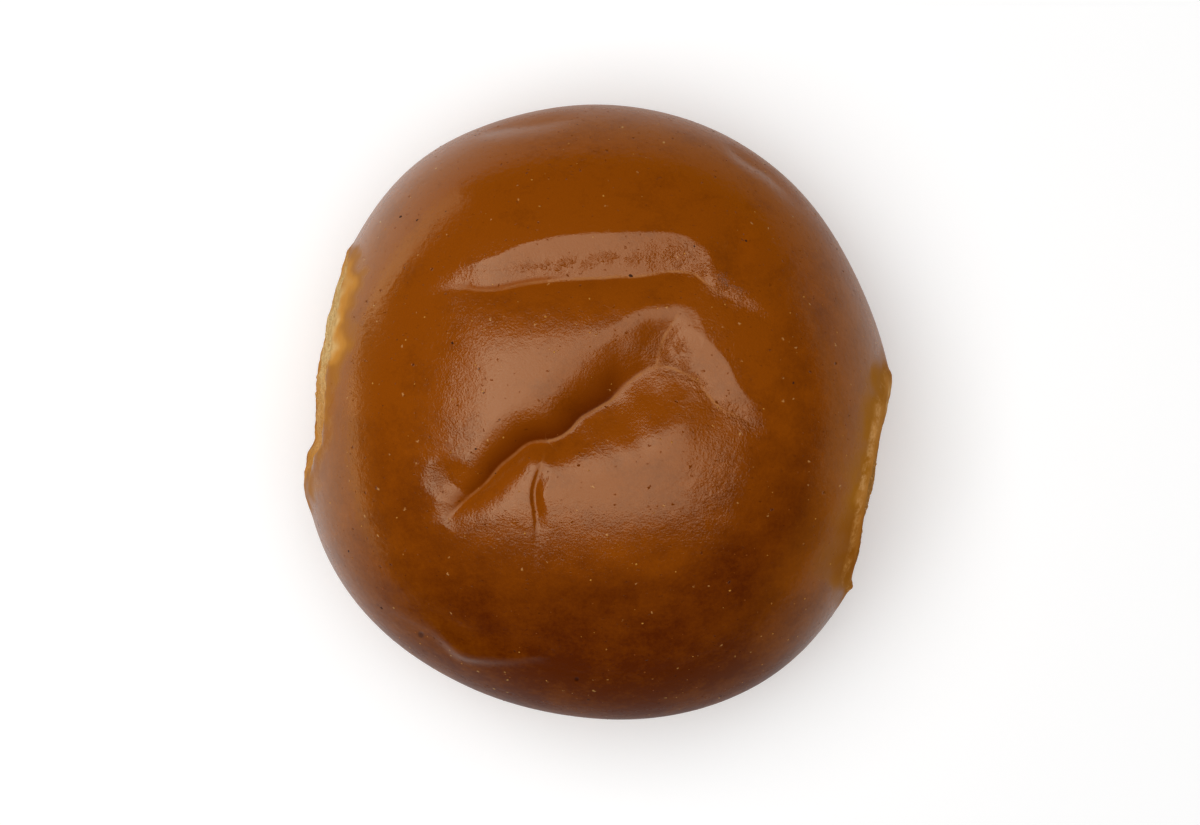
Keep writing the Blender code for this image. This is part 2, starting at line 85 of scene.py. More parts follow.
# Each row of a crease line, in mm seen from above: x, y, depth, then reach and power of the wall on the
# line's left, and of the wall on its right. Power 1 is a plain slope, more is steep at the line.
crownFolds = {
    "main": [
        (-25.3, -18.3, 0.0, 3.0, 1.6, 4.0, 3.0), (-23.5, -15.7, 0.8, 3.6, 1.6, 6.0, 4.0),
        (-21.7, -13.8, 1.5, 4.2, 1.6, 8.0, 4.0), (-18.6, -11.3, 2.0, 4.8, 1.5, 9.0, 4.0),
        (-15.4, -7.9, 2.5, 5.6, 1.5, 9.0, 3.6), (-11.8, -4.9, 2.9, 6.6, 1.5, 8.0, 2.6),
        (-8.1, -4.4, 3.2, 7.4, 1.5, 8.5, 2.0), (-4.9, -2.8, 3.5, 8.2, 1.5, 9.0, 1.6),
        (-2.8, -0.6, 3.7, 8.8, 1.5, 10.0, 1.4), (0.0, 1.0, 3.9, 9.4, 1.5, 11.0, 1.25),
        (1.9, 2.1, 4.0, 9.8, 1.5, 11.3, 1.2), (4.0, 4.4, 4.0, 10.0, 1.5, 11.8, 1.15),
        (6.5, 6.3, 3.9, 9.6, 1.4, 12.3, 1.1), (9.2, 7.6, 3.4, 7.9, 1.05, 12.8, 1.1),
        (13.0, 6.8, 2.7, 6.9, 1.0, 13.5, 1.1), (15.7, 5.3, 2.1, 5.6, 1.0, 13.0, 1.1),
        (17.5, 2.9, 1.7, 4.8, 1.0, 11.0, 1.1), (19.8, 0.6, 1.3, 4.2, 1.05, 8.0, 1.15),
        (23.0, -1.1, 0.7, 3.4, 1.1, 5.0, 1.3), (27.2, -3.2, 0.0, 3.0, 1.1, 4.0, 1.3)],
    "spur": [
        (8.9, 7.3, 3.2, 10.0, 1.3, 8.5, 1.1), (9.7, 10.2, 2.95, 10.0, 1.3, 8.5, 1.1),
        (10.5, 12.5, 2.45, 9.0, 1.3, 7.5, 1.1), (11.5, 14.3, 1.65, 7.0, 1.3, 6.0, 1.1),
        (12.6, 16.2, 0.7, 4.0, 1.2, 4.0, 1.1), (13.9, 18.0, 0.0, 2.5, 1.2, 3.0, 1.1)],
    "upper": [
        (30.8, 13.3, 0.0, 2.0, 2.0, 1.8, 1.7), (25.1, 16.8, 0.4, 5.0, 1.7, 1.8, 1.7),
        (20.2, 19.1, 0.65, 9.0, 1.6, 1.8, 1.7), (17.5, 20.9, 0.9, 12.0, 1.6, 2.2, 1.6),
        (16.2, 22.0, 1.2, 12.5, 1.8, 3.5, 1.5), (14.6, 23.0, 1.7, 12.0, 2.0, 5.5, 1.2),
        (11.7, 23.2, 2.2, 13.0, 2.2, 6.6, 1.15), (6.5, 22.4, 2.3, 13.5, 2.3, 6.8, 1.15),
        (-1.6, 22.0, 2.3, 14.5, 2.3, 7.2, 1.15), (-9.7, 21.5, 2.1, 16.0, 2.3, 6.4, 1.15),
        (-15.4, 20.4, 1.7, 16.0, 2.2, 5.4, 1.2), (-19.4, 20.1, 1.3, 14.0, 2.2, 4.2, 1.2),
        (-22.5, 20.4, 0.9, 11.0, 2.0, 3.8, 1.25), (-25.2, 20.2, 0.5, 8.0, 1.8, 3.2, 1.3),
        (-28.8, 19.3, 0.2, 6.0, 1.6, 2.6, 1.3), (-33.0, 17.8, 0.0, 4.0, 1.5, 2.0, 1.3)],
    "upperHollow": [
        (24.0, 31.5, 0.0, 3.0, 1.3, 4.6, 1.0), (23.2, 28.6, 0.6, 3.2, 1.3, 4.8, 1.0),
        (22.0, 25.2, 0.7, 3.2, 1.3, 4.3, 1.0), (20.9, 22.6, 0.4, 2.8, 1.3, 3.3, 1.0),
        (20.0, 20.8, 0.0, 2.2, 1.3, 2.5, 1.0)],
    "small": [
        (-8.6, -4.2, 0.25, 3.2, 1.3, 0.5, 1.0), (-9.1, -6.6, 0.55, 2.9, 1.4, 0.45, 1.0),
        (-9.6, -8.8, 0.7, 2.3, 1.4, 0.45, 1.0), (-10.2, -10.6, 0.7, 1.8, 1.3, 0.45, 1.0),
        (-10.7, -12.3, 0.7, 1.5, 1.3, 0.45, 1.0), (-10.8, -14.2, 0.7, 1.5, 1.3, 0.45, 1.0),
        (-10.6, -16.0, 0.65, 1.9, 1.4, 0.45, 1.0), (-10.3, -17.6, 0.5, 2.2, 1.4, 0.5, 1.0),
        (-10.2, -19.4, 0.3, 2.0, 1.5, 0.6, 1.2), (-10.5, -23.0, 0.15, 1.6, 1.5, 0.8, 1.4),
        (-10.3, -26.5, 0.0, 1.4, 1.5, 1.0, 1.5)],
    "heel": [
        (-28.2, -8.6, 0.0, 2.5, 1.4, 3.0, 1.4), (-26.1, -10.0, 0.8, 4.0, 1.4, 3.6, 1.4),
        (-24.1, -11.5, 1.1, 4.5, 1.4, 3.4, 1.4), (-22.0, -13.3, 1.0, 4.5, 1.4, 3.0, 1.4)],
    "topRightPucker": [
        (20.6, 45.6, 0.0, 2.0, 1.5, 2.0, 1.5), (23.7, 43.1, 0.45, 2.0, 1.5, 2.0, 1.5),
        (29.0, 39.5, 0.4, 2.0, 1.5, 2.0, 1.5), (34.3, 33.5, 0.0, 2.0, 1.5, 2.0, 1.5)],
    "topLeftPucker": [
        (-22.0, 47.0, 0.0, 2.0, 1.5, 2.0, 1.5), (-17.0, 48.2, 0.4, 1.8, 1.4, 3.0, 1.6),
        (-9.0, 49.3, 0.4, 1.8, 1.4, 3.0, 1.6), (-3.0, 49.6, 0.0, 2.0, 1.5, 2.0, 1.5)],
}

# Ridges of the skin, written the same way with a height for the depth
skinRidges = {
    "lowLeft": [
        (-38.4, -30.0, 0.0, 1.8, 1.5, 1.2, 1.2), (-34.6, -32.2, 0.12, 2.2, 1.5, 1.2, 1.2),
        (-31.0, -34.2, 0.18, 2.5, 1.5, 1.3, 1.2), (-27.8, -36.0, 0.30, 2.8, 1.5, 1.5, 1.2),
        (-25.4, -37.9, 0.60, 3.2, 1.5, 1.7, 1.2), (-22.6, -39.8, 0.75, 3.6, 1.5, 1.9, 1.2),
        (-17.0, -40.4, 0.62, 3.6, 1.5, 1.7, 1.2), (-11.8, -40.2, 0.30, 3.0, 1.5, 1.4, 1.2),
        (-8.0, -40.0, 0.0, 2.5, 1.5, 1.2, 1.2)],
}

foldShape = {
    # mm: rounding at the bottom of a crease with walls of the round reach, less where they are narrower
    "curveSteps": 8, "creaseRounding": 0.50, "roundReach": 10, "roundPower": 1.5, "roundLeast": 0.18,
    "lineSoftening": 0.01, "blend": 0.7, "blendLimit": 4,
    "waver": 0.22 * mm, "waverLength": 3.5 * mm, "waverLayers": (0.5, 7.5), "fade": 6 * mm,
    # the shaded wall: how far the shade goes, as a share of the wall's reach, and how dark it is
    "shaded": {"main": (0.72, 1.0), "spur": (0.75, 0.65), "upper": (0.25, 0.25), "small": (0.6, 0.15)},
    "shadePower": 0.8, "shadeDepth": 2.2, "plainPower": 1.05, "steepPower": 1.3, "shadeEdge": 0.7,
    # to the right of here, in mm, the shaded walls grow paler by this share
    "paleFrom": 1.0, "paleTo": 5.0, "paleShare": 0.6,
    # mm: as far from a crease as counts, and the depths where the painted highlight line along it begins and
    # is full
    "farFold": 3.0, "lipNone": 0.4, "lipFull": 1.3,
}

# place, height, reach along and across, turn
swellings = [
    ((14.6, -14.9), 0.95, (13, 9.5), 10), ((25.1, -7.3), 0.8, (10, 9), 0),
    ((-15.4, 2.9), 0.4, (12, 9), 35), ((-28.4, 17.5), -0.55, (7, 7), 0),
    ((16.2, 11.0), 0.35, (5, 5), 0), ((11.0, -3.9), 0.8, (7, 5.5), 0)]

# Where the skin is finely puckered: place, reach along and across, turn, how much
skinPuckers = [
    ((10.8, 10.2), (2.6, 3.4), -30, 0.9), ((14.8, 6.0), (4.2, 1.4), -50, 0.8),
    ((21.5, -0.2), (3.5, 1.6), -38, 0.7), ((-7.0, 24.0), (7.0, 1.3), 4, 0.75),
    ((2.5, 25.2), (6.0, 1.2), 0, 0.6), ((11.7, 25.3), (5.0, 2.0), 0, 0.7),
    ((19.5, 20.9), (6.0, 1.5), -32, 1.0), ((-25.5, -11.0), (3.0, 1.6), -40, 0.5),
    ((19.0, -11.5), (4.0, 8.0), -8, 0.35), ((-24.0, 0.0), (1.6, 7.0), 0, 0.25),
    ((-16.0, -17.5), (8.0, 1.0), 0, 0.2), ((-4.5, 3.0), (14.0, 2.0), 31, 0.3)]

# Torn sides: which way each faces, how far out, its lean, its roundness, its two ends and its roughness
tornSides = [
    {"azimuth": 175.5, "distance": 49.6 * mm, "lean": 0.14, "curve": 100 * mm, "begin": -24.5 * mm,
     "end": 9.5 * mm, "endRise": 1.2 * mm, "roughness": 0.8 * mm, "grain": 4.5 * mm, "grainStart": 2.0},
    {"azimuth": -11.3, "distance": 48.8 * mm, "lean": 0.10, "curve": 2000 * mm, "begin": -20.8 * mm,
     "end": 17.5 * mm, "endRise": 1.6 * mm, "roughness": 0.8 * mm, "grain": 9 * mm, "grainStart": 9.0}]

# What both share: the height where the distance holds, the ends, the rough crumb, the curled crust
tear = {
    "foot": 6 * mm, "endWidth": 3.0 * mm, "endSlope": 0.22, "rounding": 0.4 * mm,
    "stretch": 0.7, "octaves": 4, "falloff": 0.8, "step": 2.1, "fade": 1.5 * mm, "edgeWander": 0.4,
    "curl": 0.5 * mm, "curlWidth": 0.8 * mm, "farAway": 8.0,
}


def ease(values, low, high):
    share = np.clip((values - low) / (high - low), 0.0, 1.0)
    return share * share * (3.0 - 2.0 * share)


# The smooth bun: a squarish dome over a rolled-under side and a flat base
def planRadius(azimuth):
    radius = np.full(len(azimuth), bunForm["waistRadius"])
    for order, height, crest in bunForm["planWaves"]:
        radius += height * np.cos(order * (azimuth - math.radians(crest)))
    return radius


def profile(angle):
    form = bunForm
    side = np.clip((angle - math.pi / 2) / (form["sideAngle"] - math.pi / 2), 0.0, 1.0) * math.pi / 2
    base = np.clip((math.pi - angle) / (math.pi - form["sideAngle"]), 0.0, 1.0)
    dome = np.clip(angle, 0.0, math.pi / 2)
    rise = form["height"] - form["waistHeight"]
    domeShare = np.sin(dome) ** (2 / form["domePower"])
    domeHeight = form["waistHeight"] + rise * np.cos(dome) ** (2 / form["domePower"])
    tucked = np.clip(np.cos(side), 0, 1) ** (2 / form["sidePower"])
    sideShare = form["baseShare"] + (1 - form["baseShare"]) * tucked
    sideHeight = form["waistHeight"] * (1 - np.sin(side) ** (2 / form["sidePower"]))
    onDome = angle < math.pi / 2
    share = np.where(onDome, domeShare, sideShare * base)
    height = np.where(onDome, domeHeight, np.where(base < 1.0, 0.0, sideHeight))
    return share, height


def smoothBun(directions):
    azimuth = np.arctan2(directions[:, 1], directions[:, 0])
    angle = np.arccos(np.clip(directions[:, 2], -1.0, 1.0))
    share, height = profile(math.pi * (angle / math.pi) ** bunForm["crowding"])
    reach = share * planRadius(azimuth)
    return np.stack([reach * np.cos(azimuth), reach * np.sin(azimuth), height], axis=1), share


def pushDirections(points, share):
    form = bunForm
    dome = form["height"] - form["waistHeight"]
    least, power = form["leastSlope"], form["domePower"] - 1
    steep = np.clip((points[:, 2] - form["waistHeight"]) / dome, least, 1.0) ** power / dome
    flat = np.clip(share, least, 1.0) ** power / form["waistRadius"]
    outward = points[:, :2] / np.maximum(np.linalg.norm(points[:, :2], axis=1), tiny)[:, None]
    normals = np.column_stack([outward * flat[:, None], steep])
    normals /= np.linalg.norm(normals, axis=1)[:, None]
    blend = ease(share, form["crownShare"], form["sideShare"])[:, None]
    mixed = normals * blend + np.array([0.0, 0.0, 1.0]) * (1 - blend)
    return mixed / np.linalg.norm(mixed, axis=1)[:, None]


# Folds of the crown
def curveThrough(rows):
    steps = foldShape["curveSteps"]
    rows = np.array(rows, float)
    rows = np.vstack([2 * rows[0] - rows[1], rows, 2 * rows[-1] - rows[-2]])
    t = (np.arange(steps) / steps)[:, None]
    pieces = []
    for a, b, c, d in zip(rows[:-3], rows[1:-2], rows[2:-1], rows[3:]):
        cubic = 3 * b - a - 3 * c + d
        pieces.append(0.5 * (2 * b + (c - a) * t + (2 * a - 5 * b + 4 * c - d) * t ** 2 + cubic * t ** 3))
    pieces.append(rows[-2:-1])
    return np.concatenate(pieces)


def alongLine(x, y, line):
    # distance from the line, how much a point is on its left, and the line's values, all blended
    path = curveThrough(line)
    weightSum = np.zeros(len(x))
    left = np.zeros(len(x))
    values = np.zeros((len(x), path.shape[1] - 2))
    for a, b in zip(path[:-1], path[1:]):
        runX, runY = b[0] - a[0], b[1] - a[1]
        length = math.hypot(runX, runY)
        offX, offY = x - a[0], y - a[1]
        t = np.clip((offX * runX + offY * runY) / length ** 2, 0.0, 1.0)
        distanceSq = (offX - t * runX) ** 2 + (offY - t * runY) ** 2 + foldShape["lineSoftening"] ** 2
        weight = length / distanceSq ** 3
        weightSum += weight
        left += weight * (runX * offY - runY * offX > 0)
        values += weight[:, None] * (a[2:] + (b[2:] - a[2:]) * t[:, None])
    distance = (3 * math.pi / 8 / weightSum) ** 0.2  # beside a long straight line, the plain distance
    return distance, left / weightSum, (values / weightSum[:, None]).T


def nearLine(x, y, line):
    rows = np.array(line)
    reach = max(rows[:, 3].max(), rows[:, 5].max())
    low, high = rows[:, :2].min(axis=0) - reach, rows[:, :2].max(axis=0) + reach
    return (x > low[0]) & (x < high[0]) & (y > low[1]) & (y < high[1])


def foldCut(x, y, line):
    # how deep the fold cuts, how far each point is to the left of its line, and the line's values there
    distance, left, (depth, leftReach, leftPower, rightReach, rightPower) = alongLine(x, y, line)
    narrow = (np.minimum(leftReach, rightReach) / foldShape["roundReach"]) ** foldShape["roundPower"]
    rounding = np.maximum(foldShape["creaseRounding"] * narrow, foldShape["roundLeast"])
    eased = np.sqrt(distance ** 2 + rounding ** 2) - rounding
    leftWall = np.clip(1 - eased / leftReach, 0.0, 1.0) ** leftPower
    rightWall = np.clip(1 - eased / rightReach, 0.0, 1.0) ** rightPower
    cut = np.maximum(depth, 0.0) * (leftWall * left + rightWall * (1 - left))
    return cut, distance * (2 * left - 1), depth, leftReach, leftPower


def foldShade(name, aside, depth, leftReach, leftPower):
    # how much a point is on the shaded wall, the left one
    reach, strength = foldShape["shaded"].get(name, (1.0, 0.0))
    shade = strength * np.clip(1 - np.abs(aside) / (reach * leftReach), 0.0, 1.0) ** foldShape["shadePower"]
    shade *= np.clip(depth / foldShape["shadeDepth"], 0.0, 1.0)
    shade *= ease(leftPower, foldShape["plainPower"], foldShape["steepPower"])
    return shade * np.clip(0.5 + aside / foldShape["shadeEdge"], 0.0, 1.0)


def deeperOf(first, second):
    blend = np.minimum(foldShape["blend"], foldShape["blendLimit"] * np.minimum(first, second)) + tiny
    share = np.clip(0.5 + 0.5 * (first - second) / blend, 0.0, 1.0)
    return second + (first - second) * share + blend * share * (1 - share)


def wavering(points):
    # the plan in mm, gently pushed about so that no crease runs quite smoothly
    spots, layers = points[:, :2] / foldShape["waverLength"], foldShape["waverLayers"]
    stray = np.array([[noise.noise(Vector((u, v, layer))) for layer in layers] for u, v in spots])
    plan = (points[:, :2] + stray * foldShape["waver"]) / mm
    return plan[:, 0], plan[:, 1]


def hump(x, y, middle, reach, turn):
    # 1 in the middle, fading out along and across
    c, s = math.cos(math.radians(turn)), math.sin(math.radians(turn))
    u = (x - middle[0]) * c + (y - middle[1]) * s
    v = (y - middle[1]) * c - (x - middle[0]) * s
    return np.exp(-(u / reach[0]) ** 2 - (v / reach[1]) ** 2)


def crownRelief(points):
    x, y = wavering(points)
    cut = np.zeros(len(x))
    shade = np.zeros(len(x))
    aboveMain = np.ones(len(x))
    aside = np.full(len(x), foldShape["farFold"])
    lip = np.zeros(len(x))
    rise = np.zeros(len(x))
    for name, line in crownFolds.items():
        near = nearLine(x, y, line)
        foldDepth, foldAside, depth, leftReach, leftPower = foldCut(x[near], y[near], line)
        wallShade = foldShade(name, foldAside, depth, leftReach, leftPower)
        if name == "main":
            aboveMain[near] = np.clip(0.5 + foldAside / foldShape["shadeEdge"], 0.0, 1.0)
        if name == "spur":
            wallShade *= aboveMain[near]  # the spur ends on the main crease
        cut[near] = deeperOf(cut[near], foldDepth)
        shade[near] = np.maximum(shade[near], wallShade)
        closer = np.abs(foldAside) < np.abs(aside[near])
        aside[near] = np.where(closer, foldAside, aside[near])
        foldLip = ease(depth, foldShape["lipNone"], foldShape["lipFull"]) * (name in foldShape["shaded"])
        lip[near] = np.where(closer, foldLip, lip[near])
    shade *= 1.0 - foldShape["paleShare"] * ease(x, foldShape["paleFrom"], foldShape["paleTo"])
    for line in skinRidges.values():
        near = nearLine(x, y, line)
        rise[near] += foldCut(x[near], y[near], line)[0]
    for middle, height, reach, turn in swellings:
        rise += height * hump(x, y, middle, reach, turn)
    pucker = np.zeros(len(x))
    for middle, reach, turn, amount in skinPuckers:
        pucker = np.maximum(pucker, amount * hump(x, y, middle, reach, turn))
    return (rise - cut) * mm, {"pucker": pucker, "shade": shade, "aside": aside, "lip": lip}


def swell(points):
    form = bunForm
    return np.array([noise.noise(Vector(p) / form["swellLength"]) for p in points]) * form["swellHeight"]


# Torn sides
def tearSide(points, side):
    facing = math.radians(side["azimuth"])
    outWay = np.array([math.cos(facing), math.sin(facing)])
    alongWay = np.array([-math.sin(facing), math.cos(facing)])
    out, along = points[:, :2] @ outWay, points[:, :2] @ alongWay
    limit = side["distance"] - along ** 2 / (2 * side["curve"])
    limit -= side["lean"] * (points[:, 2] - tear["foot"])
    pastEnd = np.maximum(along - side["end"], side["begin"] - along)
    limit += side["endRise"] * ease(pastEnd, -tear["endWidth"] / 2, tear["endWidth"] / 2)
    limit += tear["endSlope"] * np.maximum(pastEnd, 0.0)
    near = out - limit > -tear["farAway"] * mm
    grain = np.zeros(len(points))
    for i in np.nonzero(near)[0]:
        u, v = along[i] / side["grain"], points[i, 2] * tear["stretch"] / side["grain"]
        grain[i] = noise.fractal(Vector((u, v, side["grainStart"])), tear["falloff"], tear["step"],
                                 tear["octaves"])
    over = out - limit - tear["edgeWander"] * side["roughness"] * grain
    back = 0.5 * (over + np.sqrt(over ** 2 + tear["rounding"] ** 2))
    torn = ease(over, 0.0, tear["fade"])
    curl = tear["curl"] * np.exp(-((over / tear["curlWidth"]) ** 2))
    shift = curl - back + torn * side["roughness"] * grain
    shift[~near] = 0.0
    moved = points.copy()
    moved[:, :2] += shift[:, None] * outWay
    return moved, np.where(near, over / mm, -tear["farAway"])


def onTornSide(points, margin):
    found = np.zeros(len(points), bool)
    for side in tornSides:
        facing = math.radians(side["azimuth"])
        out = points[:, 0] * math.cos(facing) + points[:, 1] * math.sin(facing)
        limit = side["distance"] - side["lean"] * (points[:, 2] - tear["foot"])
        found |= out > limit - margin
    return found


def wantedLevel(directions):
    # how many times the ball's faces are halved, so that folds and torn sides get fine faces
    points, share = smoothBun(directions)
    level = np.zeros(len(points), int)
    level[points[:, 2] > bunForm["fineAbove"]] = 1
    level[onTornSide(points, bunForm["fineMargin"])] = 2
    level[share < bunForm["fineShare"]] = 2
    return level


def ballMesh():
    bm = bmesh.new()
    bmesh.ops.create_icosphere(bm, subdivisions=bunForm["sphereSteps"], radius=1.0)
    for level in (1, 2):
        bm.faces.ensure_lookup_table()
        centres = np.array([face.calc_center_median().normalized() for face in bm.faces])
        wanted = wantedLevel(centres) >= level
        edges = {edge for face in bm.faces if wanted[face.index] for edge in face.edges}
        bmesh.ops.subdivide_edges(bm, edges=sorted(edges, key=lambda e: e.index), cuts=1)
        bmesh.ops.triangulate(bm, faces=[face for face in bm.faces if len(face.verts) > 3])
        bm.faces.index_update()
        bm.edges.index_update()
    mesh = bpy.data.meshes.new("bunCrust")
    bm.to_mesh(mesh)
    bm.free()
    return mesh


def newObject(name, data):
    made = bpy.data.objects.new(name, data)
    bpy.context.scene.collection.objects.link(made)
    return made


def readPoints(mesh):
    points = np.empty(len(mesh.vertices) * 3)
    mesh.vertices.foreach_get("co", points)
    return points.reshape(-1, 3)


def setFloat(mesh, name, values):
    layer = mesh.attributes.new(name, "FLOAT", "POINT")
    layer.data.foreach_set("value", np.ascontiguousarray(values, np.float32))


def shapeBun(mesh):
    directions = readPoints(mesh)
    directions /= np.linalg.norm(directions, axis=1)[:, None]
    points, share = smoothBun(directions)
    form = bunForm
    relief, skin = crownRelief(points)
    lift = relief * ease(points[:, 2], form["waistHeight"], form["waistHeight"] + foldShape["fade"])
    lift += swell(points) * ease(points[:, 2], form["swellFrom"], form["swellFull"])
    points += pushDirections(points, share) * lift[:, None]
    torn = np.full(len(points), -tear["farAway"])
    for side in tornSides:
        points, pastEdge = tearSide(points, side)
        torn = np.maximum(torn, pastEdge)
    points[:, :2] -= (points[:, :2].min(axis=0) + points[:, :2].max(axis=0)) / 2
    points = np.clip(points, np.array(cadLow), np.array(cadHigh))
    mesh.vertices.foreach_set("co", points.ravel())
    setFloat(mesh, "torn", np.clip(torn, -tear["farAway"], tear["farAway"]))
    pale = roundAbout(points, bakeShadeLook["pale"]) * besideRim(points)
    setFloat(mesh, "pale", pale)
    # darker towards the front right, partly baked darker and partly painted shade, less where the crust is
    # pale
    setFloat(mesh, "bakeAndShade", bakeAndShadeTone(points) * (1 - np.clip(pale, 0.0, 1.0)))
    setFloat(mesh, "wash", bakeShadeLook["evenWash"] + roundAbout(points, bakeShadeLook["wash"]))
    for name, values in skin.items():
        setFloat(mesh, name, values)
    mesh.update()


# How dark each point is: 0 on the crown, 1 where it is darkest, towards the front right; partly a real darker
# bake, partly painted shade on the side turned away from the light
bakeShadeLook = {
    "darkWay": -75, "even": 0.30, "uneven": 0.66, "from": 12 * mm, "full": 42 * mm,
    # paler where a neighbour was, and how thick the egg wash lies on the side: azimuth, spread, amount
    "pale": [(-12, 32, 1.0), (178, 26, 0.8)], "paleFrom": 35 * mm, "paleFull": 43 * mm,
    "wash": [(152, 30, 0.70), (197, 18, 0.40), (-4, 30, 0.25), (85, 45, 0.07), (235, 20, 0.02),
             (322, 12, 0.06)], "evenWash": 0.015,
}


def roundAbout(points, lobes):
    azimuth = np.degrees(np.arctan2(points[:, 1], points[:, 0]))
    total = np.zeros(len(points))
    for way, spread, amount in lobes:
        turn = (azimuth - way + 180) % 360 - 180
        total += amount * np.exp(-(turn / spread) ** 2)
    return total


def besideRim(points):
    return ease(np.linalg.norm(points[:, :2], axis=1), bakeShadeLook["paleFrom"], bakeShadeLook["paleFull"])


def bakeAndShadeTone(points):
    look = bakeShadeLook
    azimuth = np.arctan2(points[:, 1], points[:, 0])
    tone = look["even"] + look["uneven"] * np.cos(azimuth - math.radians(look["darkWay"]))
    rim = ease(np.linalg.norm(points[:, :2], axis=1), look["from"], look["full"])
    return np.clip(tone, 0.0, 1.0) * rim


# Shader building
def feed(tree, socket, value):
    if isinstance(value, bpy.types.NodeSocket):
        tree.links.new(value, socket)
    else:
        socket.default_value = value


def addNode(tree, kind, feeds=None, **settings):
    # a new node, its settings, and what goes into its sockets
    node = tree.nodes.new(kind)
    for key, value in settings.items():
        setattr(node, key, value)
    for name, value in (feeds or {}).items():
        feed(tree, node.inputs[name], value)
    return node


def maths(tree, operation, first, second=0.0):
    return addNode(tree, "ShaderNodeMath", {0: first, 1: second}, operation=operation).outputs[0]


def vectorMaths(tree, operation, feeds):
    return addNode(tree, "ShaderNodeVectorMath", feeds, operation=operation).outputs


def chain(operation):
    # takes any number of values, one after the other
    def run(tree, *values):
        total = values[0]
        for value in values[1:]:
            total = maths(tree, operation, total, value)
        return total
    return run


times, plus, most = chain("MULTIPLY"), chain("ADD"), chain("MAXIMUM")


def inverse(tree, value):
    return maths(tree, "SUBTRACT", 1.0, value)


def swing(tree, noiseValue, amount):
    # up and down round nought, by this much from end to end
    return times(tree, maths(tree, "SUBTRACT", noiseValue, 0.5), amount)


def remap(tree, value, low, high, newLow=0.0, newHigh=1.0, kind="SMOOTHSTEP"):
    feeds = {"Value": value, "From Min": low, "From Max": high, "To Min": newLow, "To Max": newHigh}
    return addNode(tree, "ShaderNodeMapRange", feeds, interpolation_type=kind).outputs["Result"]


def blend(tree, share, first, second, kind="MIX"):
    feeds = {"Factor": share, 6: first, 7: second}
    return addNode(tree, "ShaderNodeMix", feeds, data_type="RGBA", blend_type=kind).outputs[2]


def attribute(tree, name):
    return addNode(tree, "ShaderNodeAttribute", attribute_name=name).outputs["Fac"]


def readPlace(tree):
    place = addNode(tree, "ShaderNodeTexCoord").outputs["Object"]
    return [place, *addNode(tree, "ShaderNodeSeparateXYZ", {0: place}).outputs]


def stretched(tree, place, stretch):
    if not stretch:
        return place
    return addNode(tree, "ShaderNodeMapping", {"Vector": place, "Scale": stretch}).outputs["Vector"]


def grain(tree, place, perMm, detail=2.0, roughness=0.5, stretch=None):
    # noise with so many lumps a millimetre
    place = stretched(tree, place, stretch)
    feeds = {"Vector": place, "Scale": perMm / mm, "Detail": detail, "Roughness": roughness}
    return addNode(tree, "ShaderNodeTexNoise", feeds).outputs["Fac"]


def cells(tree, place, perMm):
    return addNode(tree, "ShaderNodeTexVoronoi", {"Vector": place, "Scale": perMm / mm}).outputs


dotEdge = {"choice": 0.02, "core": 0.4}  # how sharply dots are chosen, and how much of one is full


def dots(tree, place, perMm, size, share, stretch=None):
    # dots, round or drawn out, in only a share of the cells
    found = cells(tree, stretched(tree, place, stretch), perMm)
    chance = addNode(tree, "ShaderNodeSeparateColor", {0: found["Color"]}).outputs[0]
    chosen = remap(tree, chance, 1 - share, 1 - share + dotEdge["choice"])
    return times(tree, remap(tree, found["Distance"], size, size * dotEdge["core"]), chosen)


def bump(tree, height, distance, normal=None):
    node = addNode(tree, "ShaderNodeBump", {"Height": height, "Distance": distance})
    if normal:
        tree.links.new(normal, node.inputs["Normal"])
    return node.outputs["Normal"]


def newMaterial(name):
    material = bpy.data.materials.new(name)
    material.use_nodes = True
    return material, material.node_tree, material.node_tree.nodes["Principled BSDF"].inputs


def finishWith(tree, sockets, colour, roughness, shine):
    for name, value in (("Base Color", colour), ("Roughness", roughness), ("Specular IOR Level", shine)):
        feed(tree, sockets[name], value)


# mm from above: x, y, radius
burntSpots = [(-30.2, 7.7, 0.32), (-19.3, 7.0, 0.26), (-18.5, 3.1, 0.24), (-15.9, -1.3, 0.22),
              (39.3, 8.0, 0.32), (-29.6, -37.3, 0.75), (-3.5, -44.4, 0.50)]

